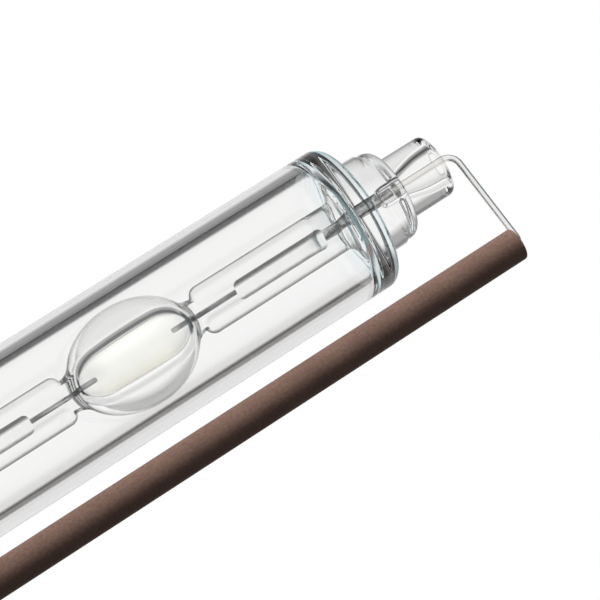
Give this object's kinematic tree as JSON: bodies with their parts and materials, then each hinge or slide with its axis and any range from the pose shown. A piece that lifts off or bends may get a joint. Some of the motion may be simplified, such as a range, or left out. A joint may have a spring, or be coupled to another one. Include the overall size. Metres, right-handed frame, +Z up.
{
  "type": "xenon headlight bulb",
  "caption": "Gas-discharge headlight bulb: quartz arc tube in an outer glass bulb, ceramic-sleeved return wire and a round plug-in cap.",
  "frame": {"origin": "centre of the cap's rear rim, on which the bulb stands", "axes": "+Z up the lamp axis towards the glass tip, +X towards the return wire"},
  "size_m": [0.032, 0.0318, 0.0769],
  "materials": {
    "quartz": "clear fused quartz",
    "outer_quartz": "clear doped quartz with a faint blue-green edge",
    "salt": "matt cream salt deposit",
    "tungsten": "dark drawn tungsten",
    "foil": "bright thin molybdenum foil",
    "lead_wire": "drawn molybdenum rod",
    "return_wire": "bright drawn wire",
    "brown_ceramic": "matt brown fired ceramic",
    "spring_steel": "stamped stainless spring steel",
    "cap_plastic": "fine-grained moulded black plastic",
    "contact_metal": "tin-plated brass"
  },
  "bodies": {
    "root": {"arc_tube": "quartz", "outer_bulb": "outer_quartz", "salt_deposit": "salt", "front_electrode": "tungsten", "rear_electrode": "tungsten", "front_foil": "foil", "rear_foil": "foil", "front_lead": "lead_wire", "rear_lead": "lead_wire", "return_wire": "return_wire", "ceramic_tube": "brown_ceramic", "clamp_sleeve": "spring_steel", "holder_ring": "spring_steel", "lamp_cap": "cap_plastic", "side_contact": "contact_metal", "centre_contact": "contact_metal"}
  },
  "joints": []
}
